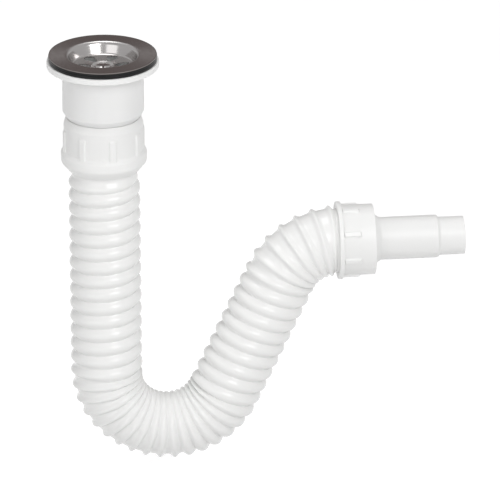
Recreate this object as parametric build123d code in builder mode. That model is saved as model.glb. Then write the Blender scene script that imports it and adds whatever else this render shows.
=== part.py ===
from build123d import *
import math
import os

os.makedirs("parts", exist_ok=True)

# Sizes are in millimetres. The origin is the middle of the sink clamp plane, where the two
# gaskets meet with no sink between them. +Z is up and +X runs to the outlet.

# Pressed stainless strainer and its screw.
sheet = 0.7
strainer_od = 70.0
mouth_bore = 45.8
base_bore = 39.6
cup_depth = 7.7
lip_bend = 3.0
base_bend = 1.4
dimple_bend = 0.8
dimple_top = 15.2
dimple_floor = 11.6
dimple_depth = 1.4
petal_count = 6
petal_circle = 24.4
petal_length = 5.0
petal_outer = 3.7
petal_inner = 1.9
screw_shank = 6.0
screw_head = 10.4
head_rim = 1.0
head_dome = 1.5
slot_width = 1.5
slot_depth = 1.3
screw_clearance = 0.3
screw_tail = 3.0

# Flat rubber gaskets above and below the sink.
gasket_overhang = 0.25
upper_gasket_room = 6.2
upper_gasket_height = 1.4
lower_gasket_width = 8.25
lower_gasket_height = 2.1

# Moulded waste body: flange, chamber, spider with its boss, and the threaded tail.
flange_od = 73.0
flange_height = 3.9
flange_edge = 0.8
body_od = 53.0
body_wall = 2.2
chamber_height = 30.0
taper_height = 5.3
neck_step = 0.75
neck_height = 2.0
tail_margin = 2.25
tail_wall = 2.5
tail_length = 14.7
boss_od = 14.0
boss_drop = 14.0
boss_height = 13.0
boss_cap = 1.6
spider_arms = 3
spider_thickness = 2.6
insert_od = 8.8
insert_collar = 11.4
insert_collar_height = 1.2
insert_clearance = 0.05

# Inlet union: slip nut and flat seal round the hose's end flange.
thread_depth = 1.45
thread_clearance = 0.2
thread_runout = 1.0
slip_clearance = 0.35
lug_count = 8
lug_root = 1.2
edge_round = 0.5
edge_match = 0.01
inlet_nut_gap = 0.5
inlet_nut_height = 34.9
inlet_nut_wall = 3.45
inlet_top_land = 0.4
inlet_shoulder = 3.0
inlet_collar_rise = 2.1
inlet_collar_top = 20.6
inlet_collar_slope = 2.6
inlet_collar_height = 5.8
inlet_foot_land = 2.9
inlet_lug_rise = 0.7
inlet_lug_width = 4.4
inlet_lug_top = 6.9
inlet_lug_turn = 8.0
inlet_seal_height = 2.5

# Blown corrugated hose. Its line lies in the XZ plane: leg, U-bend, riser and elbow.
crest_od = 46.8
valley_od = 40.4
hose_wall = 1.2
hose_flange_rim = 2.0
hose_flange_height = 3.5
cuff_length = 13.5
leg_length = 141.5
u_radius = 40.4
u_angle = 154.5
riser_length = 87.5
elbow_radius = 39.6
leg_turns = 15.0
u_turns = 16.25
riser_turns = 9.4
elbow_turns = 5.9
u_flattening = 2.0
elbow_flattening = 0.8
first_crest = 114.0
sections_per_turn = 5
outlet_neck = 2.6
outlet_core_step = 0.75
outlet_cuff_length = 13.0
outlet_cuff_wall = 2.1

# Outlet union: slip nut, flat seal and the stepped spigot.
outlet_nut_lap = 1.1
outlet_nut_length = 24.2
outlet_nut_wall = 3.85
outlet_nut_taper = 0.5
outlet_collar_rise = 2.2
outlet_collar_length = 2.8
outlet_lug_rise = 1.1
outlet_lug_width = 3.2
outlet_lug_length = 11.8
outlet_lug_turn = 15.0
outlet_seal_height = 2.0
spigot_flange_rise = 0.65
spigot_flange_length = 3.6
spigot_neck_od = 33.0
spigot_neck_length = 4.6
spigot_shoulder = 3.4
spigot_od = 28.0
spigot_length = 37.3
spigot_tip_od = 25.0
spigot_tip_length = 17.9
spigot_wall = 1.6

# Sizes that follow from those above. The heights run down from the clamp plane.
quarter_angle = 90.0
gasket_od = strainer_od + 2 * gasket_overhang
hose_flange_od = valley_od + 2 * hose_flange_rim
inlet_foot_od = valley_od + 2 * inlet_foot_land
tail_core = valley_od + 2 * tail_margin
neck_od = tail_core + 2 * neck_step
inlet_nut_od = tail_core + 2 * inlet_nut_wall
inlet_lug_od = inlet_nut_od + 2 * inlet_lug_rise
inlet_collar_od = inlet_nut_od + 2 * inlet_collar_rise
outlet_core = valley_od - 2 * outlet_core_step
outlet_nut_od = outlet_core + 2 * outlet_nut_wall
outlet_lug_od = outlet_nut_od + 2 * outlet_lug_rise
outlet_collar_od = outlet_nut_od + 2 * outlet_collar_rise
spigot_flange_od = outlet_core + 2 * spigot_flange_rise
rim_top = upper_gasket_height + sheet
cup_base = rim_top - cup_depth
dimple_base = cup_base - dimple_depth
flange_top = -lower_gasket_height
flange_bottom = flange_top - flange_height
taper_top = flange_bottom - chamber_height
taper_bottom = taper_top - taper_height
thread_top = taper_bottom - neck_height
tail_end = thread_top - tail_length
seal_bottom = tail_end - inlet_seal_height
cuff_top = seal_bottom - hose_flange_height
leg_top = cuff_top - cuff_length
boss_top = flange_bottom - boss_drop
boss_bottom = boss_top - boss_height
insert_bottom = boss_bottom - insert_collar_height
screw_bottom = insert_bottom - screw_tail
nut_top = taper_bottom - inlet_nut_gap
nut_bottom = nut_top - inlet_nut_height
collar_top = nut_top - inlet_collar_top
collar_edge = collar_top - inlet_collar_slope
tail_bore = tail_core - 2 * tail_wall
crest_rise = (crest_od - valley_od) / 4


def circles(block, diameter):
    """Circular edges of one diameter on the part being built."""
    return [e for e in block.edges().filter_by(GeomType.CIRCLE) if abs(2 * e.radius - diameter) < edge_match]


def washer(level, outer, bore, height):
    """Flat rubber ring standing on a plane."""
    with BuildPart() as ring:
        with BuildSketch(level):
            Circle(outer / 2)
            Circle(bore / 2, mode=Mode.SUBTRACT)
        extrude(amount=height)
    return ring


def grip_lugs(level, barrel, crown, width, length, first_angle):
    """Ring of straight lugs that stand out from a nut's barrel and are rooted in its wall."""
    depth = (crown - barrel) / 2 + lug_root
    with BuildPart() as lugs:
        with BuildSketch(level):
            with PolarLocations((crown - depth) / 2, lug_count, start_angle=first_angle):
                Rectangle(depth, width)
        extrude(amount=length)
    return lugs.part


# Strainer cup: one bent line of sheet spun round the axis, with teardrop drain slots.
with BuildSketch() as petal:
    with Locations((petal_length / 2, 0)):
        Circle(petal_outer)
    with Locations((-petal_length / 2, 0)):
        Circle(petal_inner)
    make_hull()

with BuildPart() as strainer_cup:
    with BuildSketch(Plane.XZ):
        with BuildLine():
            FilletPolyline(
                (screw_shank / 2 + screw_clearance, dimple_base),
                (dimple_floor / 2, dimple_base),
                (dimple_top / 2, cup_base),
                (base_bore / 2, cup_base),
                (mouth_bore / 2, rim_top),
                (strainer_od / 2, rim_top),
                radius=(dimple_bend, dimple_bend, base_bend, lip_bend),
            )
            offset(amount=sheet, side=Side.RIGHT, closed=True)
        make_face()
    revolve(axis=Axis.Z)
    with BuildSketch(Plane.XY.offset(cup_base)):
        with PolarLocations(petal_circle / 2, petal_count):
            add(petal.sketch)
    extrude(amount=-2 * sheet, mode=Mode.SUBTRACT)

# Strainer screw: oval head with a slot, resting in the dimple of the cup.
with BuildPart() as strainer_screw:
    with BuildSketch(Plane.XZ):
        with BuildLine():
            shank = Polyline(
                (0, screw_bottom),
                (screw_shank / 2, screw_bottom),
                (screw_shank / 2, dimple_base),
                (screw_head / 2, dimple_base),
                (screw_head / 2, dimple_base + head_rim),
            )
            crown_centre = (0, dimple_base + head_rim)
            EllipticalCenterArc(crown_centre, screw_head / 2, head_dome, arc_size=quarter_angle)
            Line((0, dimple_base + head_rim + head_dome), shank @ 0)
        make_face()
    revolve(axis=Axis.Z)
    with BuildSketch(Plane.XY.offset(dimple_base + head_rim + head_dome)):
        Rectangle(slot_width, screw_head)
    extrude(amount=-slot_depth, mode=Mode.SUBTRACT)

# Gaskets: with no sink between them, one lies on the other.
upper_gasket = washer(Plane.XY, gasket_od, mouth_bore + upper_gasket_room, upper_gasket_height)
lower_gasket = washer(
    Plane.XY.offset(flange_top), gasket_od, gasket_od - 2 * lower_gasket_width, lower_gasket_height
)

# Waste body: spun shell, then a spider that carries the boss for the screw's insert.
with BuildPart() as waste_body:
    chamber = body_od / 2 - body_wall
    with BuildSketch(Plane.XZ):
        with BuildLine():
            Polyline(
                (chamber, flange_top),
                (flange_od / 2, flange_top),
                (flange_od / 2, flange_bottom),
                (body_od / 2, flange_bottom),
                (body_od / 2, taper_top),
                (neck_od / 2, taper_bottom),
                (neck_od / 2, thread_top),
                (tail_core / 2, thread_top),
                (tail_core / 2, tail_end),
                (tail_bore / 2, tail_end),
                (tail_bore / 2, thread_top),
                (chamber, taper_top),
                close=True,
            )
        make_face()
    revolve(axis=Axis.Z)
    fillet(circles(waste_body, flange_od), flange_edge)
    with BuildSketch(Plane.XY.offset(boss_top)):
        Circle(boss_od / 2)
        with PolarLocations((chamber + body_wall / 2) / 2, spider_arms, start_angle=quarter_angle):
            Rectangle(chamber + body_wall / 2, spider_thickness)
    extrude(amount=-boss_height)
    with BuildSketch(Plane.XY.offset(boss_top)):
        Circle(screw_shank / 2 + screw_clearance)
    extrude(amount=-boss_height, mode=Mode.SUBTRACT)
    with BuildSketch(Plane.XY.offset(boss_bottom)):
        Circle(insert_od / 2 + insert_clearance)
    extrude(amount=boss_height - boss_cap, mode=Mode.SUBTRACT)

# Brass insert: pressed into the boss from below, its collar against the boss.
with BuildPart() as screw_insert:
    with BuildSketch(Plane.XY.offset(insert_bottom)):
        Circle(insert_collar / 2)
    extrude(amount=insert_collar_height)
    with BuildSketch(Plane.XY.offset(boss_bottom)):
        Circle(insert_od / 2)
    extrude(amount=boss_height - boss_cap - screw_clearance)
    with BuildSketch(Plane.XY.offset(insert_bottom)):
        Circle(screw_shank / 2 + insert_clearance)
    extrude(amount=boss_height, mode=Mode.SUBTRACT)

# Inlet seal: flat ring between the tail's end and the hose's end flange.
inlet_seal = washer(Plane.XY.offset(seal_bottom), hose_flange_od, tail_bore, inlet_seal_height)

# Inlet nut: its lip catches the hose flange, its thread runs on the tail.
with BuildPart() as inlet_nut:
    inlet_thread = tail_core / 2 + thread_depth + thread_clearance
    inlet_pocket = hose_flange_od / 2 + slip_clearance
    inlet_lip = valley_od / 2 + slip_clearance
    with BuildSketch(Plane.XZ):
        with BuildLine():
            Polyline(
                (inlet_thread, nut_top),
                (inlet_thread + inlet_top_land, nut_top),
                (inlet_nut_od / 2, nut_top - inlet_shoulder),
                (inlet_nut_od / 2, collar_top),
                (inlet_collar_od / 2, collar_edge),
                (inlet_collar_od / 2, collar_edge - inlet_collar_height),
                (inlet_foot_od / 2, nut_bottom),
                (inlet_lip, nut_bottom),
                (inlet_lip, cuff_top),
                (inlet_pocket, cuff_top),
                (inlet_pocket, tail_end - thread_runout),
                (inlet_thread, tail_end - thread_runout),
                close=True,
            )
        make_face()
    revolve(axis=Axis.Z)
    fillet(circles(inlet_nut, inlet_collar_od), 2 * edge_round)
    fillet(circles(inlet_nut, inlet_foot_od), edge_round)
    lug_top = nut_top - inlet_lug_top
    add(
        grip_lugs(
            Plane.XY.offset(collar_top - inlet_collar_slope / 2),
            inlet_nut_od,
            inlet_lug_od,
            inlet_lug_width,
            lug_top - collar_top + inlet_collar_slope / 2,
            inlet_lug_turn,
        )
    )

# Line of the hose, from the foot of the inlet cuff to the last corrugation.
with BuildLine(Plane.XZ) as hose_line:
    leg = Line((0, leg_top), (0, leg_top - leg_length))
    u_bend = JernArc(leg @ 1, (0, -1), u_radius, u_angle)
    riser = Line(u_bend @ 1, (u_bend @ 1) + (u_bend % 1) * riser_length)
    elbow = JernArc(riser @ 1, riser % 1, elbow_radius, quarter_angle - u_angle)

hose_runs = (
    (leg, leg_turns, 0),
    (u_bend, u_turns, u_flattening),
    (riser, riser_turns, 0),
    (elbow, elbow_turns, elbow_flattening),
)
hose_turns = sum(turns for run, turns, flattening in hose_runs)
outlet_x = (elbow @ 1).X
outlet_z = (elbow @ 1).Z
outlet_axis = Axis((0, 0, outlet_z), (1, 0, 0))
cuff_end = outlet_x + outlet_neck + outlet_cuff_length


def corrugation(inset):
    """Rims of the corrugated stretch, set in from the outer skin.

    A single-start corrugation is a tube whose centre circles round the hose's line, once a turn.
    Each rim is that tube's section, square to the line. The swing grows from nothing over the
    first turn and dies away over the last, and the section is flattened in the bends.
    """
    rims = []
    done = 0
    for run, turns, flattening in hose_runs:
        steps = round(turns * sections_per_turn)
        for step in range(steps + 1):
            share = step / steps
            turn = done + turns * share
            swing = crest_rise * min(1, turn, hose_turns - turn)
            squeeze = flattening * math.sin(math.pi * share)
            angle = math.radians(first_crest - 360 * turn)
            ahead = run % share
            inward = Vector(-ahead.Z, 0, ahead.X)
            offset = inward * (swing * math.cos(angle)) + Vector(0, swing * math.sin(angle), 0)
            centre = (run @ share) + offset
            radius = valley_od / 2 + swing - inset
            if step > 0 or done == 0:
                level = Plane(origin=centre, x_dir=(0, 1, 0), z_dir=ahead)
                rims.append(Edge.make_ellipse(radius + squeeze / 4, radius - squeeze, level))
        done += turns
    return rims


def rim(centre, ahead, diameter):
    """Round rim of a cuff, square to the hose's line."""
    return Edge.make_circle(diameter / 2, Plane(origin=centre, x_dir=(0, 1, 0), z_dir=ahead))


def skin(rims):
    """Strips of straight rulings from each rim to the next."""
    return [Face.make_surface_from_curves(first, second) for first, second in zip(rims, rims[1:])]


def flat_ring(outer, inner):
    """Flat face between two rims of one plane."""
    return Face(Wire([outer]), [Wire([inner])])


# Hose: outer and inner skins, from the end flange through the corrugations to the outlet cuff.
down = (0, 0, -1)
across = (1, 0, 0)
cuff_bore = valley_od - 2 * hose_wall
outlet_bore = outlet_core - 2 * outlet_cuff_wall
neck_end_at = (outlet_x + outlet_neck, 0, outlet_z)
cuff_end_at = (cuff_end, 0, outlet_z)
flange_rims = [rim((0, 0, seal_bottom), down, hose_flange_od), rim((0, 0, cuff_top), down, hose_flange_od)]
outer_rims = [rim((0, 0, cuff_top), down, valley_od), *corrugation(0), rim(neck_end_at, across, valley_od)]
thread_rims = [rim(neck_end_at, across, outlet_core), rim(cuff_end_at, across, outlet_core)]
inner_rims = [
    rim((0, 0, seal_bottom), down, cuff_bore),
    *corrugation(hose_wall),
    rim(neck_end_at, across, outlet_bore),
    rim(cuff_end_at, across, outlet_bore),
]
hose_faces = skin(flange_rims) + skin(outer_rims) + skin(thread_rims) + skin(inner_rims)
hose_faces.append(flat_ring(flange_rims[0], inner_rims[0]))
hose_faces.append(flat_ring(flange_rims[-1], outer_rims[0]))
hose_faces.append(flat_ring(outer_rims[-1], thread_rims[0]))
hose_faces.append(flat_ring(thread_rims[-1], inner_rims[-1]))
with BuildPart() as hose:
    add(Solid(Shell(hose_faces)))

# Outlet seal: flat ring between the hose cuff's end and the spigot's flange.
outlet_face = Plane(origin=(cuff_end, 0, outlet_z), x_dir=(0, -1, 0), z_dir=across)
outlet_seal = washer(outlet_face, spigot_flange_od, outlet_bore, outlet_seal_height)

# Outlet spigot: flange held by the nut, shoulder, and two steps for the drain pipe.
with BuildPart() as outlet_spigot:
    spigot_start = cuff_end + outlet_seal_height
    flange_end = spigot_start + spigot_flange_length
    neck_end = flange_end + spigot_neck_length
    shoulder_end = neck_end + spigot_shoulder
    step_end = shoulder_end + spigot_length
    tip_end = step_end + spigot_tip_length
    with BuildSketch(Plane.XZ):
        with BuildLine():
            Polyline(
                (spigot_start, outlet_z + spigot_flange_od / 2),
                (flange_end, outlet_z + spigot_flange_od / 2),
                (flange_end, outlet_z + spigot_neck_od / 2),
                (neck_end, outlet_z + spigot_neck_od / 2),
                (shoulder_end, outlet_z + spigot_od / 2),
                (step_end, outlet_z + spigot_od / 2),
                (step_end + spigot_wall, outlet_z + spigot_tip_od / 2),
                (tip_end, outlet_z + spigot_tip_od / 2),
                (tip_end, outlet_z + spigot_tip_od / 2 - spigot_wall),
                (step_end, outlet_z + spigot_tip_od / 2 - spigot_wall),
                (step_end - spigot_wall, outlet_z + spigot_od / 2 - spigot_wall),
                (shoulder_end, outlet_z + spigot_od / 2 - spigot_wall),
                (neck_end, outlet_z + spigot_neck_od / 2 - spigot_wall),
                (spigot_start, outlet_z + spigot_neck_od / 2 - spigot_wall),
                close=True,
            )
        make_face()
    revolve(axis=outlet_axis)

# Outlet nut: its lip catches the spigot's flange, its thread runs on the hose's cuff.
with BuildPart() as outlet_nut:
    nut_start = outlet_x + outlet_nut_lap
    nut_end = nut_start + outlet_nut_length
    outlet_thread = outlet_core / 2 + thread_depth + thread_clearance
    outlet_pocket = spigot_flange_od / 2 + slip_clearance
    outlet_lip = spigot_neck_od / 2 + slip_clearance
    with BuildSketch(Plane.XZ):
        with BuildLine():
            Polyline(
                (nut_start, outlet_z + outlet_thread),
                (nut_start, outlet_z + outlet_collar_od / 2),
                (nut_start + outlet_collar_length, outlet_z + outlet_collar_od / 2),
                (nut_start + outlet_collar_length, outlet_z + outlet_nut_od / 2),
                (nut_end, outlet_z + (outlet_nut_od - outlet_nut_taper) / 2),
                (nut_end, outlet_z + outlet_lip),
                (flange_end, outlet_z + outlet_lip),
                (flange_end, outlet_z + outlet_pocket),
                (cuff_end + thread_runout, outlet_z + outlet_pocket),
                (cuff_end + thread_runout, outlet_z + outlet_thread),
                close=True,
            )
        make_face()
    revolve(axis=outlet_axis)
    fillet(circles(outlet_nut, outlet_collar_od), edge_round)
    fillet(circles(outlet_nut, outlet_nut_od - outlet_nut_taper), edge_round)
    lug_start = (nut_start + outlet_collar_length / 2, 0, outlet_z)
    add(
        grip_lugs(
            Plane(origin=lug_start, x_dir=(0, -1, 0), z_dir=across),
            outlet_nut_od - outlet_nut_taper,
            outlet_lug_od,
            outlet_lug_width,
            outlet_lug_length + outlet_collar_length / 2,
            outlet_lug_turn,
        )
    )

pieces = {
    "strainer_cup": strainer_cup,
    "strainer_screw": strainer_screw,
    "upper_gasket": upper_gasket,
    "lower_gasket": lower_gasket,
    "waste_body": waste_body,
    "screw_insert": screw_insert,
    "inlet_nut": inlet_nut,
    "inlet_seal": inlet_seal,
    "hose": hose,
    "outlet_seal": outlet_seal,
    "outlet_spigot": outlet_spigot,
    "outlet_nut": outlet_nut,
}
for name, piece in pieces.items():
    piece.part.label = name
    export_step(piece.part, f"parts/{name}.step")
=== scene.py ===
import math

import bpy
import numpy as np
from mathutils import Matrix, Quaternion, Vector


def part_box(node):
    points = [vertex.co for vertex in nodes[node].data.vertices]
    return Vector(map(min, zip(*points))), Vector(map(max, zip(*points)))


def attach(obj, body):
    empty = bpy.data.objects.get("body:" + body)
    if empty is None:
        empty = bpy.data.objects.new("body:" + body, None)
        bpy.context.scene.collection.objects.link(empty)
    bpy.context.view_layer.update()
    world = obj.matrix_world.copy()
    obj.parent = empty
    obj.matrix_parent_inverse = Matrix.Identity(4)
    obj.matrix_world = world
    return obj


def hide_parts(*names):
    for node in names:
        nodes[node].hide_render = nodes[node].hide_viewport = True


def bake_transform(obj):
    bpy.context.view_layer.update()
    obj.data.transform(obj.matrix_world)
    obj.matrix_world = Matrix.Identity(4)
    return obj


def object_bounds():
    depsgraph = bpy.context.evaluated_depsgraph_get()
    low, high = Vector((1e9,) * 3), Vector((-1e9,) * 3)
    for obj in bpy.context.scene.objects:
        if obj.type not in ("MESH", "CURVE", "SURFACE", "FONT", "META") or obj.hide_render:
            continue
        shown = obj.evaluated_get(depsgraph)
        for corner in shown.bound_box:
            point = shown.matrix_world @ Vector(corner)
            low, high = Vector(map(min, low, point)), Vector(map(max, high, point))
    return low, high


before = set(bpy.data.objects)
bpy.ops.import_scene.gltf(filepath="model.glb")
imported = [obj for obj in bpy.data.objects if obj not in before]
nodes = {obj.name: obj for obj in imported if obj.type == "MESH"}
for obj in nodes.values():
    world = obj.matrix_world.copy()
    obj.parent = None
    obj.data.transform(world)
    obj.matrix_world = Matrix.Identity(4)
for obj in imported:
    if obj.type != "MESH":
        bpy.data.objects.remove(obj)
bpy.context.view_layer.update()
mm = 0.001


# Strainer cup: the bowl in the sink's outlet, pressed from stainless sheet and polished bright.
# Its flat flange lies on the upper gasket, and one screw through the dimple draws it down.
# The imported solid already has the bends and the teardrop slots, so it only gets its finish.
def srgb(code):
    """Linear RGBA of an sRGB hex colour, by the standard's two-part curve."""
    channels = np.array([int(code[i : i + 2], 16) for i in (1, 3, 5)]) / 255
    linear = np.where(channels <= 0.04045, channels / 12.92, ((channels + 0.055) / 1.055) ** 2.4)
    return (*linear.tolist(), 1.0)


def add_node(tree, kind, settings=None, wires=None):
    """Adds one shader node to a tree.

    Settings are its properties, or values for its inputs. Wires are the outputs linked to its
    inputs. An input goes by its name, or by its number where names repeat.
    """
    node = tree.nodes.new(kind)
    for key, value in (settings or {}).items():
        if isinstance(key, int) or key in node.inputs:
            node.inputs[key].default_value = value
        else:
            setattr(node, key, value)
    for key, source in (wires or {}).items():
        tree.links.new(source, node.inputs[key])
    return node


def finish(name, settings):
    """New material with one Principled shader; returns it with its tree and shader."""
    material = bpy.data.materials.new(name)
    material.use_nodes = True
    shader = material.node_tree.nodes["Principled BSDF"]
    for key, value in settings.items():
        shader.inputs[key].default_value = value
    return material, material.node_tree, shader


def dress(piece, material):
    """Gives a piece one material, in its only slot."""
    piece.data.materials.clear()
    piece.data.materials.append(material)


def polished_steel(rim, bowl_edge):
    """Stainless whose mirror images smear round the ring, sharper in the bowl than on the flange.

    The smear follows the cross product of place and Z. The blur varies in faint patches about
    2.5 mm across, is about halved inside the bowl's edge, and the rim has a darker painted shade.
    """
    patch = 2.5 * mm
    bowl_blur, bowl_fade = 0.52, 2 * mm
    rim_start, rim_full = rim - 0.4 * mm, rim - 0.1 * mm
    material, tree, shader = finish(
        "polished stainless steel", {"Metallic": 1.0, "Anisotropic": 0.8}
    )
    place = add_node(tree, "ShaderNodeTexCoord").outputs["Object"]
    around = add_node(
        tree, "ShaderNodeVectorMath", {"operation": "CROSS_PRODUCT", 1: (0, 0, 1)}, {0: place}
    )
    flat = add_node(tree, "ShaderNodeVectorMath", {"operation": "MULTIPLY", 1: (1, 1, 0)}, {0: place})
    radius = add_node(
        tree, "ShaderNodeVectorMath", {"operation": "LENGTH"}, {0: flat.outputs["Vector"]}
    ).outputs["Value"]
    clouds = add_node(
        tree, "ShaderNodeTexNoise", {"Scale": 1 / patch, "Detail": 2.0}, {"Vector": place}
    )
    blur = add_node(
        tree,
        "ShaderNodeMapRange",
        {"To Min": 0.21, "To Max": 0.29},
        {"Value": clouds.outputs["Fac"]},
    )
    share = add_node(
        tree,
        "ShaderNodeMapRange",
        {"From Min": bowl_edge, "From Max": bowl_edge + bowl_fade, "To Min": bowl_blur, "To Max": 1.0},
        {"Value": radius},
    )
    roughness = add_node(
        tree,
        "ShaderNodeMath",
        {"operation": "MULTIPLY"},
        {0: blur.outputs["Result"], 1: share.outputs["Result"]},
    )
    # Painted shade: over the rim's last 0.4 mm the colour turns to the darker grey.
    painted_rim_shade = add_node(
        tree, "ShaderNodeMapRange", {"From Min": rim_start, "From Max": rim_full}, {"Value": radius}
    )
    # Inputs 6 and 7 of a Mix node are its two colours, and output 2 is the mixed one.
    tone = add_node(
        tree,
        "ShaderNodeMix",
        {"data_type": "RGBA", 6: srgb("#C8C5C4"), 7: srgb("#75706E")},
        {"Factor": painted_rim_shade.outputs["Result"]},
    )
    tree.links.new(around.outputs["Vector"], shader.inputs["Tangent"])
    tree.links.new(roughness.outputs["Value"], shader.inputs["Roughness"])
    tree.links.new(tone.outputs[2], shader.inputs["Base Color"])
    return material


polished_stainless = polished_steel(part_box("strainer_cup")[1].x, 22 * mm)
dress(nodes["strainer_cup"], polished_stainless)


# Strainer screw: stainless like the cup, with a slotted oval head sunk in the dimple.
# It reaches down through the chamber into the brass insert and clamps the sink between the gaskets.
dress(nodes["strainer_screw"], polished_stainless)


# Gaskets: two flat rings of black rubber, one on each side of the sink. They are moulded, so
# their edges are rounded. With no sink between them they lie on each other.
def grid_piece(name, points, crease=40, loop=True):
    """Mesh from a grid of points, rows x columns x 3, with every seam shut.

    Quad i, j joins the point to the next row and column, counted round. Without loop the first
    and last rows aren't joined and are capped. Edges sharper than crease, in degrees, stay hard.
    """
    rows, columns = points.shape[:2]
    index = np.arange(rows * columns).reshape(rows, columns)
    below = np.roll(index, -1, 0)
    quads = np.stack([index, below, np.roll(below, -1, 1), np.roll(index, -1, 1)], -1)
    if loop:
        quads = quads.reshape(-1, 4)
    else:
        quads = np.vstack([quads[:-1].reshape(-1, 4), index[:1], index[-1:, ::-1]])
    mesh = bpy.data.meshes.new(name)
    mesh.vertices.add(rows * columns)
    mesh.vertices.foreach_set("co", points.reshape(-1).astype(np.float32))
    mesh.loops.add(quads.size)
    mesh.loops.foreach_set("vertex_index", quads.reshape(-1).astype(np.int32))
    mesh.polygons.add(len(quads))
    mesh.polygons.foreach_set("loop_start", np.arange(0, quads.size, 4, dtype=np.int32))
    mesh.update(calc_edges=True)
    mesh.shade_smooth()
    mesh.set_sharp_from_angle(angle=math.radians(crease))
    piece = bpy.data.objects.new(name, mesh)
    bpy.context.collection.objects.link(piece)
    return piece


def rounded(corners, steps=5):
    """Closed profile with its corners turned to arcs.

    Each corner is (radius, height, rounding). The arc is the quadratic curve that leaves the one
    side and meets the other at the rounding's distance from the corner.
    """
    same_spot = 1e-7
    corners = np.array(corners, float)
    spots = corners[:, :2]
    cut = corners[:, 2:]
    back = np.roll(spots, 1, 0) - spots
    ahead = np.roll(spots, -1, 0) - spots
    start = spots + back / np.linalg.norm(back, axis=1, keepdims=True) * cut
    end = spots + ahead / np.linalg.norm(ahead, axis=1, keepdims=True) * cut
    t = np.linspace(0, 1, steps)[None, :, None]
    curve = start[:, None] * (1 - t) ** 2 + 2 * spots[:, None] * t * (1 - t) + end[:, None] * t**2
    curve = curve.reshape(-1, 2)
    apart = np.linalg.norm(curve - np.roll(curve, 1, 0), axis=1) > same_spot
    return curve[apart]


def spun(profile, columns=144):
    """Profile of (radius, height) turned about Z: x = r cos a, y = r sin a, z = height."""
    angle = np.linspace(0, 2 * np.pi, columns, endpoint=False)
    radius = profile[:, :1]
    height = np.broadcast_to(profile[:, 1:], (len(profile), columns))
    return np.stack([radius * np.cos(angle), radius * np.sin(angle), height], -1)


def moulded_rubber():
    """Near-black rubber, with a dull sheen that a grain of about 0.8 mm breaks up."""
    grain_size = 0.8 * mm
    material, tree, shader = finish(
        "moulded black rubber", {"Base Color": srgb("#0F1011"), "Specular IOR Level": 0.25}
    )
    place = add_node(tree, "ShaderNodeTexCoord").outputs["Object"]
    grain = add_node(tree, "ShaderNodeTexNoise", {"Scale": 1 / grain_size}, {"Vector": place})
    sheen = add_node(
        tree,
        "ShaderNodeMapRange",
        {"To Min": 0.22, "To Max": 0.38},
        {"Value": grain.outputs["Fac"]},
    )
    tree.links.new(sheen.outputs["Result"], shader.inputs["Roughness"])
    return material


black_rubber = moulded_rubber()
gasket_round = 0.45 * mm
for ring, bore in (("upper_gasket", 26.0 * mm), ("lower_gasket", 27.0 * mm)):
    ring_low, ring_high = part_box(ring)
    washer = grid_piece(
        ring + "_moulded",
        spun(
            rounded(
                [
                    (ring_high.x, ring_high.z, gasket_round),
                    (ring_high.x, ring_low.z, gasket_round),
                    (bore, ring_low.z, gasket_round),
                    (bore, ring_high.z, gasket_round),
                ]
            )
        ),
    )
    dress(washer, black_rubber)
    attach(washer, "waste")
    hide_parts(ring)


# Waste body: flange, chamber and tail moulded as one in white polypropylene.
# The chamber's wall is thin, so daylight comes through it and shows in the strainer's slots.
# The tail's pipe thread is a helical ridge on the solid's plain core, 11 turns to the inch.
def moulded_plastic(name, white, through):
    """White polypropylene, softly glossy and faintly wavy, as it cooled in its mould.

    Through is the share of its white that is light scattered inside the wall, over about 5 mm.
    The waves are about 9 mm across.
    """
    wave = 9 * mm
    material, tree, shader = finish(
        name,
        {
            "Base Color": srgb(white),
            "Roughness": 0.4,
            "IOR": 1.49,
            "Subsurface Weight": through,
            "Subsurface Radius": (1, 1, 1),
            "Subsurface Scale": 5 * mm,
        },
    )
    place = add_node(tree, "ShaderNodeTexCoord").outputs["Object"]
    waviness = add_node(
        tree, "ShaderNodeTexNoise", {"Scale": 1 / wave, "Detail": 1.0}, {"Vector": place}
    )
    relief = add_node(
        tree,
        "ShaderNodeBump",
        {"Strength": 0.12, "Distance": 0.1 * mm},
        {"Height": waviness.outputs["Fac"]},
    )
    tree.links.new(relief.outputs["Normal"], shader.inputs["Normal"])
    return material


def pipe_thread(core, depth, pitch, start, length, around=56):
    """Thread ridge wound on a core: radius, angle and height of a trapezium carried up a helix.

    The section's four corners, in shares of pitch and depth, sit just in the core, at the crest
    twice and in the core again. Height grows by one pitch a turn, right-handed. The ridge stops
    short of both ends by the runout, a share of the pitch, and fades there over a quarter turn.
    """
    runout = 0.3
    section = np.array([[-0.42, -0.1], [-0.1, 1.0], [0.1, 1.0], [0.42, -0.1]])
    turns = length / pitch - 2 * runout
    sweep = np.linspace(0, 2 * np.pi * turns, int(turns * around))[:, None]
    fade = np.clip(np.minimum(sweep, sweep[-1:] - sweep) / (np.pi / 2), 0, 1)
    radius = core + depth * np.where(section[:, 1] > 0, section[:, 1] * fade, section[:, 1])
    height = start + runout * pitch + pitch * (sweep / (2 * np.pi) + section[:, 0])
    return np.stack([radius * np.cos(sweep), radius * np.sin(sweep), height], -1)


thin_moulded_white = moulded_plastic("thin moulded white polypropylene", "#F6F6F5", 0.7)
dress(nodes["waste_body"], thin_moulded_white)

thread_pitch = 25.4 * mm / 11
thread_depth = 1.4 * mm
thread_crease = 30
tail_core = 22.45 * mm
tail_length = 16.2 * mm
tail_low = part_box("waste_body")[0].z
tail_thread = grid_piece(
    "waste_tail_thread",
    pipe_thread(tail_core, thread_depth, thread_pitch, tail_low, tail_length),
    crease=thread_crease,
    loop=False,
)
dress(tail_thread, thin_moulded_white)
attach(tail_thread, "waste")


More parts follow.
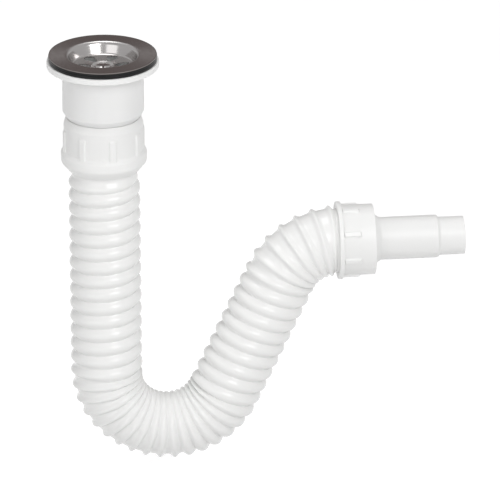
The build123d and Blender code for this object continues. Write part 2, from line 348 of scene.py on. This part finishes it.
# Brass insert: a turned sleeve with a collar, pressed into the boss of the body's spider.
# The strainer screw runs into it. From outside it can't be seen.
def turned_metal():
    """Brass with the tool's fine rings, 0.3 mm apart along Z, which vary the gloss.

    The wave node runs through 20 radians for each unit of place times scale.
    """
    feed = 0.3 * mm
    node_rate = 20
    material, tree, shader = finish("turned brass", {"Base Color": srgb("#D8B56A"), "Metallic": 1.0})
    place = add_node(tree, "ShaderNodeTexCoord").outputs["Object"]
    rings = add_node(
        tree,
        "ShaderNodeTexWave",
        {"bands_direction": "Z", "Scale": 2 * math.pi / (node_rate * feed)},
        {"Vector": place},
    )
    gloss = add_node(
        tree,
        "ShaderNodeMapRange",
        {"To Min": 0.2, "To Max": 0.36},
        {"Value": rings.outputs["Fac"]},
    )
    tree.links.new(gloss.outputs["Result"], shader.inputs["Roughness"])
    return material


dress(nodes["screw_insert"], turned_metal())


# Inlet nut: a slip nut moulded in white polypropylene, run up on the waste's tail. Its lip ends
# close under the body's taper. Eight grip lugs fade into its barrel, and a stout collar bands its
# foot, round the hose's cuff.
def dense(profile, step):
    """Closed profile with points added so that no side is longer than step."""
    loop = np.vstack([profile, profile[:1]])
    along = np.concatenate([[0], np.cumsum(np.linalg.norm(np.diff(loop, axis=0), axis=1))])
    spots = np.union1d(along[:-1], np.arange(0, along[-1], step))
    return np.stack([np.interp(spots, along, loop[:, 0]), np.interp(spots, along, loop[:, 1])], -1)


def ease(t):
    """Smooth step from 0 to 1 as t goes from 0 to 1: 3 t^2 - 2 t^3."""
    t = np.clip(t, 0, 1)
    return t * t * (3 - 2 * t)


def grip_nut(profile, barrel, crown, low, high, width, first, soft, lugs=8, columns=264):
    """Spun nut whose barrel rises to the lugs' crown between two heights.

    The rise is the product of a step across the lug's width and a step along its height, both
    eased over the soft distance. Only the outside, within a skin of the barrel's radius, is raised.
    """
    skin = 0.6 * mm
    points = spun(profile, columns)
    angle = np.linspace(0, 2 * np.pi, columns, endpoint=False) - first
    off = np.abs((angle * lugs / (2 * np.pi) + 0.5) % 1 - 0.5) * 2 * np.pi / lugs * barrel
    across = ease((width / 2 - off) / soft + 0.5)
    height = profile[:, 1]
    along = ease((height - low) / soft) * ease((high - height) / (2 * soft))
    outer = (profile[:, 0] > barrel - skin) & (profile[:, 0] < crown)
    rise = (crown - profile[:, 0]) * along * outer
    grow = 1 + np.outer(rise / profile[:, 0], across)
    points[..., :2] *= grow[..., None]
    return points


# Painted shade: this white is a little darker than the waste body's, though both are the same plastic.
moulded_white = moulded_plastic("moulded white polypropylene", "#F0F0EF", 0.2)

inlet_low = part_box("inlet_nut")[0].z
inlet_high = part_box("inlet_nut")[1].z
inlet_barrel = 25.9 * mm
inlet_crown = 26.9 * mm
inlet_collar = 28.0 * mm
inlet_foot = 23.1 * mm
inlet_bore = 24.1 * mm
inlet_pocket = 22.55 * mm
cuff_hole = 20.55 * mm
lip_top = inlet_high + 1.65 * mm
lip_bevel = 0.35 * mm
inlet_shoulder = inlet_high - 3.2 * mm
inlet_lug_top = inlet_high - 6.2 * mm
inlet_lug_width = 4.4 * mm
collar_top = inlet_high - 20.6 * mm
collar_edge = inlet_high - 23.2 * mm
collar_foot = collar_edge - 5.8 * mm
flange_seat = inlet_low + 12.7 * mm
pocket_top = flange_seat + 5 * mm
inlet_profile = rounded(
    [
        (inlet_bore, lip_top, 0.1 * mm),
        (inlet_bore + lip_bevel, lip_top - lip_bevel, 0.3 * mm),
        (inlet_barrel, inlet_shoulder, 0.6 * mm),
        (inlet_barrel, collar_top, 0.5 * mm),
        (inlet_collar, collar_edge, 0.5 * mm),
        (inlet_collar, collar_foot, 1.2 * mm),
        (inlet_foot, inlet_low, 0.6 * mm),
        (cuff_hole, inlet_low, 0.3 * mm),
        (cuff_hole, flange_seat, 0.3 * mm),
        (inlet_pocket, flange_seat, 0.3 * mm),
        (inlet_pocket, pocket_top, 0.3 * mm),
        (inlet_bore, pocket_top, 0.3 * mm),
    ]
)
inlet_nut = grid_piece(
    "inlet_nut_moulded",
    grip_nut(
        dense(inlet_profile, 0.6 * mm),
        barrel=inlet_barrel,
        crown=inlet_crown,
        low=collar_edge,
        high=inlet_lug_top,
        width=inlet_lug_width,
        first=math.radians(8),
        soft=0.8 * mm,
    ),
)
dress(inlet_nut, moulded_white)
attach(inlet_nut, "inlet_nut")
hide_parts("inlet_nut")


# Inlet seal: a flat rubber ring that lies on the hose's end flange.
# The nut squeezes it against the end of the body's tail, so it is hidden.
dress(nodes["inlet_seal"], black_rubber)


# Hose: one blown piece of white polypropylene. A single corrugation winds round it right-handed
# like a screw thread, with full round crests and narrow valleys. It is bent by hand into a U, so
# the turns close up inside the bends and open outside. The flange and the cuff are its two ends.
leg = 141.5 * mm
u_radius = 40.4 * mm
u_angle = math.radians(154.5)
riser = 87.5 * mm
elbow_radius = 39.6 * mm
elbow_angle = math.radians(64.5)
run_ends = np.cumsum([0, leg, u_radius * u_angle, riser, elbow_radius * elbow_angle])
turn_ends = np.cumsum([0, 15.0, 16.25, 9.4, 5.9])
crest = 23.4 * mm
valley = 20.5 * mm
valley_round = 0.002
hose_wall = 1.1 * mm
first_crest = math.radians(114)
# How much each run is flattened in the bend's plane, and the share of it that bulges sideways.
flattening = np.array([0, 2.0, 0, 0.8]) * mm
side_bulge = 0.25
# How far each bend stretches its outer side, along the hose: the U-bend most in its first half.
u_pull = (run_ends[1] + np.array([-12, 14, 45, 75]) * mm, [0, 1, 1, 0])
elbow_pull = (run_ends[3] + np.array([-10, 16, 60]) * mm, [0, 1, 1])
stretched_power = 7.0
stretched_fill = 0.3
pressed_fill = 0.8
flange_height = 3.5 * mm
inlet_cuff_length = 13.5 * mm
leg_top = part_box("hose")[1].z - flange_height - inlet_cuff_length


def hose_line(s):
    """Centre line at distance s from the leg's top, and the unit vector ahead, in the XZ plane.

    Straight down the leg, round the U-bend's arc, straight up the riser, round the elbow's arc
    and straight on along X. The heading's angle from straight down grows, then falls, with s.
    """
    into_u = np.clip((s - run_ends[1]) / u_radius, 0, u_angle)
    into_elbow = np.clip((s - run_ends[3]) / elbow_radius, 0, elbow_angle)
    x = u_radius * (1 - np.cos(into_u))
    z = leg_top - np.minimum(s, run_ends[1]) - u_radius * np.sin(into_u)
    up = np.clip(s - run_ends[2], 0, riser)
    x = x + up * math.sin(u_angle)
    z = z - up * math.cos(u_angle)
    lean = u_angle - into_elbow
    x = x + elbow_radius * (np.cos(lean) - math.cos(u_angle))
    z = z + elbow_radius * (np.sin(lean) - math.sin(u_angle))
    x = x + np.maximum(s - run_ends[4], 0)
    heading = into_u - into_elbow
    return x, z, np.sin(heading), -np.cos(heading)


def hose_skin(s, plain, share, columns=88):
    """Grid of the hose's skin: rings square to the line, with a wave that turns as it goes.

    Ring radius is the plain one plus share times the wave. The wave is the crest's height times
    |cos(half the angle from the crest)|, so crests are round and valleys narrow. The crest's
    angle falls one turn for each corrugation, and bends flatten the ring in their own plane.
    Outside a bend the cosine is raised to a higher power, which leaves a narrow ridge on a wide
    valley. The valley grows shallow there, and fills inside a bend, where folds are pressed.
    """
    turn = np.interp(s, run_ends, turn_ends)
    a = np.linspace(0, 2 * np.pi, columns, endpoint=False)[None]
    off_crest = a - (first_crest - 2 * np.pi * turn[:, None])
    wave = np.sqrt(np.cos(off_crest / 2) ** 2 + valley_round) / math.sqrt(1 + valley_round)
    into_run = np.clip((s[:, None] - run_ends[:-1]) / np.diff(run_ends), 0, 1)
    right = np.maximum(np.cos(a), 0)
    left = np.maximum(-np.cos(a), 0)
    pull = np.stack([np.interp(s, at, much) for at, much in (u_pull, elbow_pull)])
    press = np.sin(np.pi * into_run[:, 1::2])
    outer = left * pull[0][:, None] + right * pull[1][:, None]
    inner = right * press[:, :1] + left * press[:, 1:]
    wave = wave ** (1 + stretched_power * outer)
    wave = 1 - (1 - wave) * (1 - pressed_fill * inner) * (1 - stretched_fill * outer)
    radius = plain[:, None] + share[:, None] * (crest - valley) * wave
    squeeze = (np.sin(np.pi * into_run) @ flattening)[:, None]
    x, z, ahead_x, ahead_z = (v[:, None] for v in hose_line(s))
    inward = (radius - squeeze) * np.cos(a)
    sideways = (radius + side_bulge * squeeze) * np.sin(a)
    return np.stack([x - inward * ahead_z, sideways, z + inward * ahead_x], -1)


def waves(per_turn, radius):
    """Rows of the corrugated stretch: distance, plain radius and share of the wave.

    The share grows over the first turn and dies away over the last third of one.
    """
    turn = np.linspace(0, turn_ends[-1], int(turn_ends[-1] * per_turn))
    share = ease(np.minimum(turn, 3 * (turn_ends[-1] - turn)))
    return np.stack([np.interp(turn, turn_ends, run_ends), np.full_like(turn, radius), share], -1)


def plain_rows(*rows):
    """Rows of a plain stretch, from pairs of distance and radius."""
    return np.array([(s, r, 0) for s, r in rows])


def blown_plastic():
    """The same white, but glossier, in soft patches about 6 mm across.

    There the hot skin met its mould earlier or later.
    """
    patch = 6 * mm
    material, tree, shader = finish(
        "blown white polypropylene", {"Base Color": srgb("#F1F1F0"), "IOR": 1.49}
    )
    place = add_node(tree, "ShaderNodeTexCoord").outputs["Object"]
    patches = add_node(tree, "ShaderNodeTexNoise", {"Scale": 1 / patch}, {"Vector": place})
    gloss = add_node(
        tree,
        "ShaderNodeMapRange",
        {"To Min": 0.1, "To Max": 0.2},
        {"Value": patches.outputs["Fac"]},
    )
    tree.links.new(gloss.outputs["Result"], shader.inputs["Roughness"])
    return material


flange_rim = 22.2 * mm
flange_bore = 19.0 * mm
rim_edge = 0.3 * mm
cuff_radius = 20.2 * mm
cuff_corner = 0.4 * mm
neck_radius = 20.9 * mm
neck_edge = 0.2 * mm
outlet_cuff_core = 19.45 * mm
outlet_cuff_draft = 0.05 * mm
outlet_cuff_bore = 17.4 * mm
outlet_cuff_length = 13.0 * mm
flange_face = -inlet_cuff_length
hose_start = flange_face - flange_height
neck_start = run_ends[-1] + 0.9 * mm
neck_end = run_ends[-1] + 2.6 * mm
hose_end = neck_end + outlet_cuff_length
rows_outside = 16
rows_inside = 6
outside = np.vstack(
    [
        plain_rows(
            (hose_start, flange_rim - rim_edge),
            (hose_start + rim_edge, flange_rim),
            (flange_face - rim_edge, flange_rim),
            (flange_face, flange_rim - rim_edge),
            (flange_face, cuff_radius + cuff_corner),
            (flange_face + cuff_corner, cuff_radius),
        ),
        waves(rows_outside, valley),
        plain_rows(
            (neck_start, neck_radius),
            (neck_end - neck_edge, neck_radius),
            (neck_end, neck_radius - neck_edge),
            (neck_end, outlet_cuff_core + outlet_cuff_draft),
            (hose_end - rim_edge, outlet_cuff_core),
            (hose_end, outlet_cuff_core - rim_edge),
        ),
    ]
)
inside = np.vstack(
    [
        plain_rows((hose_start, flange_bore)),
        waves(rows_inside, valley - hose_wall),
        plain_rows((neck_end, outlet_cuff_bore), (hose_end, outlet_cuff_bore)),
    ]
)
hose_rows = np.vstack([outside, inside[::-1]])
blown_white = blown_plastic()
hose = grid_piece("hose_blown", hose_skin(*hose_rows.T), crease=50)
dress(hose, blown_white)
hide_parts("hose")
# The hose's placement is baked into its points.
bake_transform(hose)


# Outlet cuff's thread: the same pipe thread, wound on the plain core of the hose's far end.
# It is one with the hose, and rides with the outlet, which the bend carries along.
outlet_x, outlet_z = (float(v[0]) for v in hose_line(run_ends[-1:])[:2])


def along_x(points):
    """Turns a shape spun about Z so that it lies along X at the outlet's height."""
    return np.roll(points, 1, -1) + np.array([0, 0, outlet_z])


cuff_start = outlet_x + neck_end - run_ends[-1]
cuff_thread = grid_piece(
    "outlet_cuff_thread",
    along_x(pipe_thread(outlet_cuff_core, thread_depth, thread_pitch, cuff_start, outlet_cuff_length)),
    crease=thread_crease,
    loop=False,
)
dress(cuff_thread, blown_white)
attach(cuff_thread, "outlet_seal")


# Outlet seal: a flat rubber ring between the hose's cuff and the spigot's flange.
# The outlet nut squeezes it, so it is hidden like the inlet's.
dress(nodes["outlet_seal"], black_rubber)


# Outlet spigot: a stepped tube for the drain pipe, moulded in white polypropylene.
# Its end flange sits in the nut; past the nut come a shoulder, a long step and a narrower tip.
spigot_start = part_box("outlet_spigot")[0].x
spigot_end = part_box("outlet_spigot")[1].x
tip_start = spigot_end - 17.9 * mm
shoulder_end = tip_start - 37.3 * mm
shoulder_start = shoulder_end - 3.4 * mm
flange_end = spigot_start + 3.6 * mm
tube_wall = 1.6 * mm
spigot_flange = 20.1 * mm
neck = 16.5 * mm
step = 14.0 * mm
tip = 12.5 * mm
spigot_profile = rounded(
    [
        (tip - tube_wall, spigot_end, 0.4 * mm),
        (tip, spigot_end, 0.5 * mm),
        (tip, tip_start + tube_wall, 0.5 * mm),
        (step, tip_start, 0.6 * mm),
        (step, shoulder_end, 1.2 * mm),
        (neck, shoulder_start, 0.9 * mm),
        (neck, flange_end, 0.3 * mm),
        (spigot_flange, flange_end, 0.3 * mm),
        (spigot_flange, spigot_start, 0.3 * mm),
        (neck - tube_wall, spigot_start, 0.3 * mm),
        (neck - tube_wall, shoulder_start, 0.9 * mm),
        (step - tube_wall, shoulder_end, 0.9 * mm),
        (step - tube_wall, tip_start - tube_wall, 0.5 * mm),
        (tip - tube_wall, tip_start, 0.5 * mm),
    ]
)
spigot = grid_piece("outlet_spigot_moulded", along_x(spun(spigot_profile)))
dress(spigot, moulded_white)
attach(spigot, "outlet_spigot")
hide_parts("outlet_spigot")


# Outlet nut: a shorter slip nut with a thin sharp collar on the hose's side and eight lugs that
# run out from the collar and fade before the nut's face.
outlet_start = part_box("outlet_nut")[0].x
outlet_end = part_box("outlet_nut")[1].x
outlet_barrel = 23.3 * mm
outlet_draft = 0.25 * mm
outlet_crown = 24.4 * mm
outlet_collar = 25.5 * mm
outlet_bore = 21.1 * mm
outlet_pocket = 20.45 * mm
spigot_hole = 16.85 * mm
outlet_collar_edge = outlet_start + 2.8 * mm
outlet_lug_end = outlet_collar_edge + 11.8 * mm
outlet_lug_width = 3.2 * mm
pocket_end = flange_end + 0.05 * mm
outlet_profile = rounded(
    [
        (spigot_hole, outlet_end, 0.4 * mm),
        (outlet_barrel - outlet_draft, outlet_end, 0.6 * mm),
        (outlet_barrel, outlet_collar_edge, 0.4 * mm),
        (outlet_collar, outlet_collar_edge, 0.35 * mm),
        (outlet_collar, outlet_start, 0.5 * mm),
        (outlet_bore, outlet_start, 0.3 * mm),
        (outlet_bore, spigot_start, 0.2 * mm),
        (outlet_pocket, spigot_start, 0.2 * mm),
        (outlet_pocket, pocket_end, 0.2 * mm),
        (spigot_hole, pocket_end, 0.2 * mm),
    ]
)
outlet_nut = grid_piece(
    "outlet_nut_moulded",
    along_x(
        grip_nut(
            dense(outlet_profile, 0.5 * mm),
            barrel=outlet_barrel,
            crown=outlet_crown,
            low=outlet_collar_edge,
            high=outlet_lug_end,
            width=outlet_lug_width,
            first=math.radians(15),
            soft=0.6 * mm,
        )
    ),
)
dress(outlet_nut, moulded_white)
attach(outlet_nut, "outlet_nut")
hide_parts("outlet_nut")


# Stage: a pale floor below the hanging trap, large soft lamps in front and above, and the
# photograph's long-lens view from a little above. The floor glows where it is looked at or
# mirrored, so that it reads white, and still takes the trap's shadow.
def glowing_floor(strength):
    """Matt white that adds a glow of the given strength to camera, glossy and transmission rays."""
    material, tree, shader = finish("matt white floor", {"Base Color": srgb("#E0E0E0"), "Roughness": 0.9})
    rays = add_node(tree, "ShaderNodeLightPath").outputs
    mirrored = add_node(
        tree,
        "ShaderNodeMath",
        {"operation": "ADD", "use_clamp": True},
        {0: rays["Is Glossy Ray"], 1: rays["Is Transmission Ray"]},
    )
    looked_at = add_node(
        tree,
        "ShaderNodeMath",
        {"operation": "ADD", "use_clamp": True},
        {0: rays["Is Camera Ray"], 1: mirrored.outputs["Value"]},
    )
    level = add_node(
        tree,
        "ShaderNodeMath",
        {"operation": "MULTIPLY", 1: strength},
        {0: looked_at.outputs["Value"]},
    )
    glow = add_node(
        tree,
        "ShaderNodeEmission",
        {"Color": (1, 1, 1, 1)},
        {"Strength": level.outputs["Value"]},
    )
    both = add_node(
        tree, "ShaderNodeAddShader", wires={0: shader.outputs["BSDF"], 1: glow.outputs["Emission"]}
    )
    tree.links.new(both.outputs["Shader"], tree.nodes["Material Output"].inputs["Surface"])
    return material


floor_gap = 30 * mm
floor_reach = 6.0
floor_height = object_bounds()[0].z - floor_gap
floor_corners = [
    (-floor_reach, -floor_reach, floor_height),
    (floor_reach, -floor_reach, floor_height),
    (floor_reach, floor_reach, floor_height),
    (-floor_reach, floor_reach, floor_height),
]
floor_mesh = bpy.data.meshes.new("floor")
floor_mesh.from_pydata(floor_corners, [], [(0, 1, 2, 3)])
floor_mesh.materials.append(glowing_floor(0.5))
floor = bpy.data.objects.new("floor", floor_mesh)
bpy.context.collection.objects.link(floor)


def lit_room(strength):
    """World that lights evenly from all round, but for a dark, slightly warm patch.

    The patch lies low behind the trap, where the polished flange mirrors it. Its tone fades to
    white with the distance between the looked-at direction and the patch's own.
    """
    patch_direction = (0.1, 0.92, 0.37)
    patch_inner, patch_outer = 0.25, 0.7
    world = bpy.data.worlds.new("studio")
    world.use_nodes = True
    tree = world.node_tree
    background = tree.nodes["Background"]
    background.inputs["Strength"].default_value = strength
    direction = add_node(tree, "ShaderNodeTexCoord").outputs["Generated"]
    off_patch = add_node(
        tree, "ShaderNodeVectorMath", {"operation": "DISTANCE", 1: patch_direction}, {0: direction}
    )
    fade = add_node(
        tree,
        "ShaderNodeMapRange",
        {"interpolation_type": "SMOOTHSTEP", "From Min": patch_inner, "From Max": patch_outer},
        {"Value": off_patch.outputs["Value"]},
    )
    tone = add_node(
        tree,
        "ShaderNodeMix",
        {"data_type": "RGBA", 6: srgb("#8C817F"), 7: srgb("#FFFFFF")},
        {"Factor": fade.outputs["Result"]},
    )
    tree.links.new(tone.outputs[2], background.inputs["Color"])
    return world


bpy.context.scene.world = lit_room(0.56)

middle = Vector((94.6 * mm, 0, -139 * mm))
for name, spot, size, watts in (
    ("key", (0.4, -1.2, 0.9), 0.9, 8.3),
    ("fill", (-0.9, -1.1, 0.3), 1.2, 3.4),
    ("overhead", (-0.1, 0.3, 1.5), 0.8, 4),
):
    lamp = bpy.data.lights.new(name, "AREA")
    lamp.shape = "DISK"
    lamp.size = size
    lamp.energy = watts
    light = bpy.data.objects.new(name, lamp)
    light.location = middle + Vector(spot)
    light.rotation_euler = (middle - light.location).to_track_quat("-Z", "Y").to_euler()
    bpy.context.collection.objects.link(light)

azimuth = math.radians(-5.4)
elevation = math.radians(22.0)
roll = math.radians(-0.5)
distance = 8.0
away = Vector(
    (
        math.sin(azimuth) * math.cos(elevation),
        -math.cos(azimuth) * math.cos(elevation),
        math.sin(elevation),
    )
)
lens = bpy.data.cameras.new("camera")
lens.sensor_width = 36
lens.lens = 884.3
camera = bpy.data.objects.new("camera", lens)
camera.location = middle + away * distance
camera.rotation_euler = ((-away).to_track_quat("-Z", "Y") @ Quaternion((0, 0, 1), roll)).to_euler()
bpy.context.collection.objects.link(camera)
bpy.context.scene.camera = camera
bpy.context.scene.view_settings.view_transform = "Standard"
